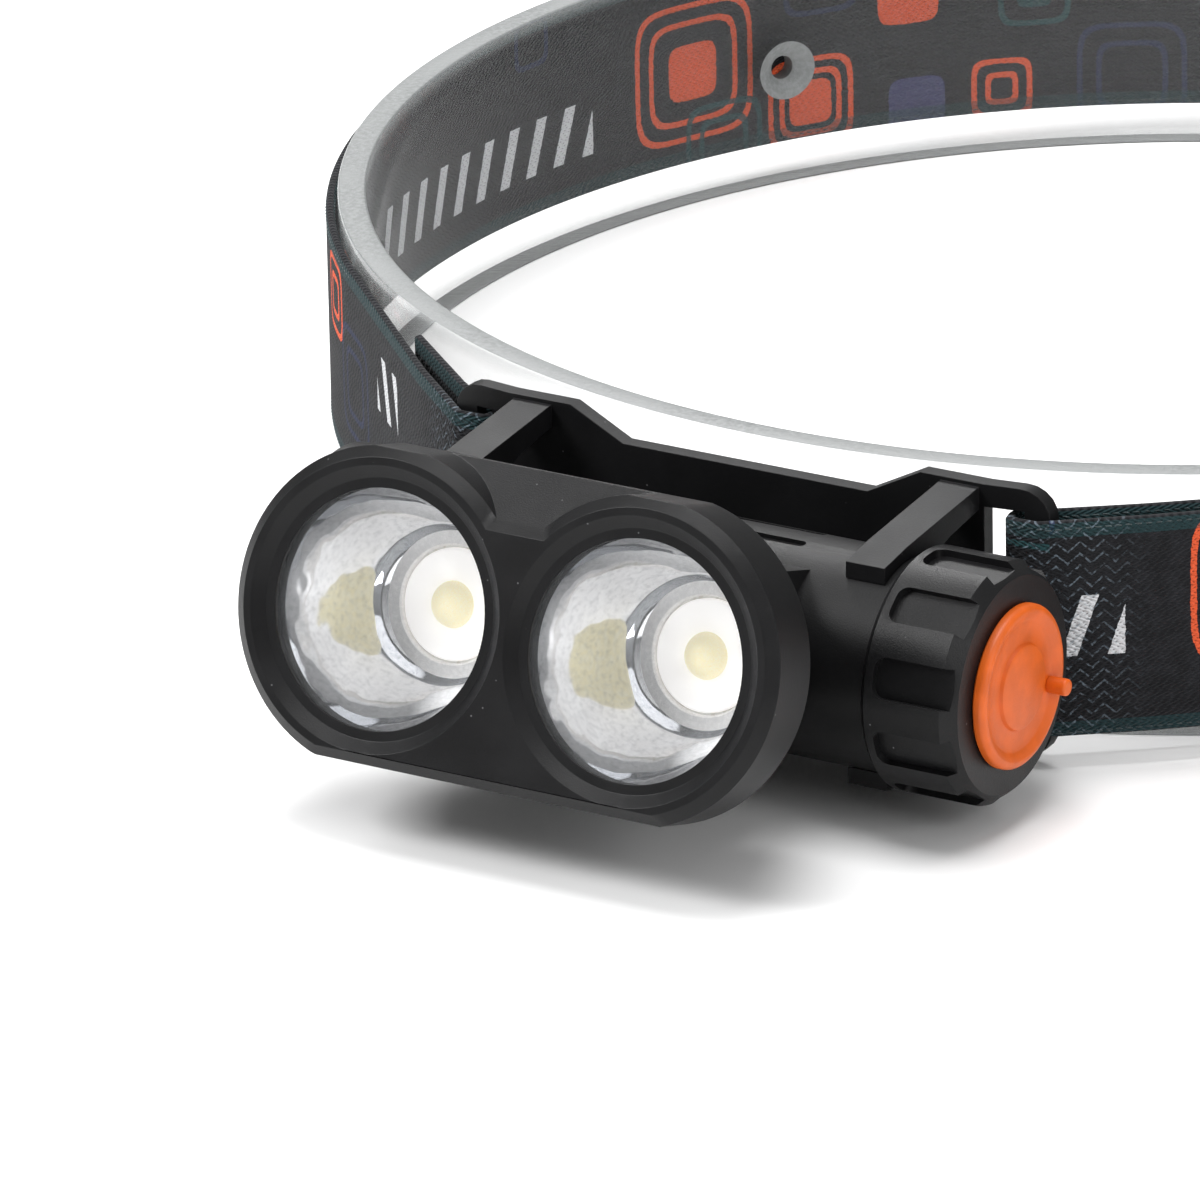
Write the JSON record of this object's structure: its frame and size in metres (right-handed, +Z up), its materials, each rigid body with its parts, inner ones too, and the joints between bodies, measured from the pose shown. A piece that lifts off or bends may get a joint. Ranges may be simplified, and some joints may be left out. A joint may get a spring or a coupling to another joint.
{
  "type": "headlamp",
  "caption": "Twin-lens rechargeable headlamp: tilting lamp and battery tube in a clip bracket on a printed elastic head strap, kept round by a clear ring.",
  "frame": {"origin": "centre of the head loop, at the strap's mid-height", "axes": "+Z up out of the head loop; the lamp is at -Y and shines along -Y, tilted upwards; +X is at the battery cap"},
  "size_m": [0.2059, 0.2601, 0.0428],
  "materials": {
    "body_plastic": "fine satin moulded texture",
    "bezel_plastic": "fine satin moulded texture",
    "clear_pane": "clear polished pane",
    "black_rubber": "matt",
    "reflector_chrome": "vacuum-metallised, mirror bright",
    "white_plastic": "satin white",
    "phosphor": "yellow phosphor under a clear dome",
    "board_white": "white solder mask on aluminium",
    "aluminium": "bare",
    "board_green": "green solder mask",
    "wire_red": "PVC insulation",
    "zinc_steel": "zinc plated",
    "cell_wrap": "shrink sleeve",
    "brass_strip": "rolled",
    "spring_steel": "nickel plated",
    "switch_black": "matt",
    "seal_red": "satin",
    "cover_orange": "satin silicone",
    "webbing": "woven elastic, printed",
    "acrylic": "clear acrylic, sawn edges frosted"
  },
  "bodies": {
    "headband": {"bracket": "body_plastic", "strap_band": "webbing"},
    "lamp": {"lamp_body": "body_plastic", "front_bezel": "bezel_plastic", "lens_left": "clear_pane", "lens_right": "clear_pane", "lens_seal_left": "black_rubber", "lens_seal_right": "black_rubber", "reflector_left": "reflector_chrome", "reflector_right": "reflector_chrome", "led_gasket_left": "white_plastic", "led_gasket_right": "white_plastic", "led_left": "phosphor", "led_right": "phosphor", "led_board_left": "board_white", "led_board_right": "board_white", "heat_sink": "aluminium", "driver_board": "board_green", "led_leads": "wire_red", "bezel_screws": "zinc_steel", "battery_cell": "cell_wrap", "contact_strip": "brass_strip", "battery_spring": "spring_steel", "switch_board": "board_green", "tact_switch": "switch_black", "end_plug": "body_plastic", "cap_seal": "seal_red"},
    "button": {"switch_button": "black_rubber"},
    "cap_carrier": {"cap_spring": "spring_steel"},
    "cap": {"end_cap": "bezel_plastic", "charge_board": "board_green", "charge_socket": "zinc_steel"},
    "cover": {"charge_cover": "cover_orange"},
    "slider": {"strap_slider": "body_plastic"},
    "ring": {"shape_ring": "acrylic"}
  },
  "joints": [
    {"name": "lamp_tilt", "type": "hinge", "parent": "headband", "child": "lamp", "pos_m": [0, -0.1191, 0], "axis": [-1, 0, 0], "range_deg": [-62, 73]},
    {"name": "button_press", "type": "slide", "parent": "lamp", "child": "button", "axis": [1, 0, 0], "range_m": [0, 0.0006], "stiffness_N_per_m": 1500, "springref_m": -0.0004},
    {"name": "cap_travel", "type": "slide", "parent": "lamp", "child": "cap_carrier", "axis": [1, 0, 0], "range_m": [0, 0.007]},
    {"name": "cap_turn", "type": "hinge", "parent": "cap_carrier", "child": "cap", "pos_m": [0, -0.1191, 0], "axis": [1, 0, 0], "range_deg": [0, 1260]},
    {"name": "cover_open", "type": "hinge", "parent": "cap", "child": "cover", "pos_m": [0.04227, -0.12766, 0.00262], "axis": [0, -0.2924, -0.9563], "range_deg": [0, 110]},
    {"name": "slider_shift", "type": "hinge", "parent": "headband", "child": "slider", "pos_m": [0, 0, 0], "axis": [0, 0, 1], "range_deg": [-10, 10]},
    {"name": "ring_lift", "type": "slide", "parent": "headband", "child": "ring", "axis": [0, 0, 1], "range_m": [0, 0.035]}
  ],
  "couplings": [
    {"joint": "cap_turn", "follows": "cap_travel", "rad_per_m": 3141.6}
  ]
}
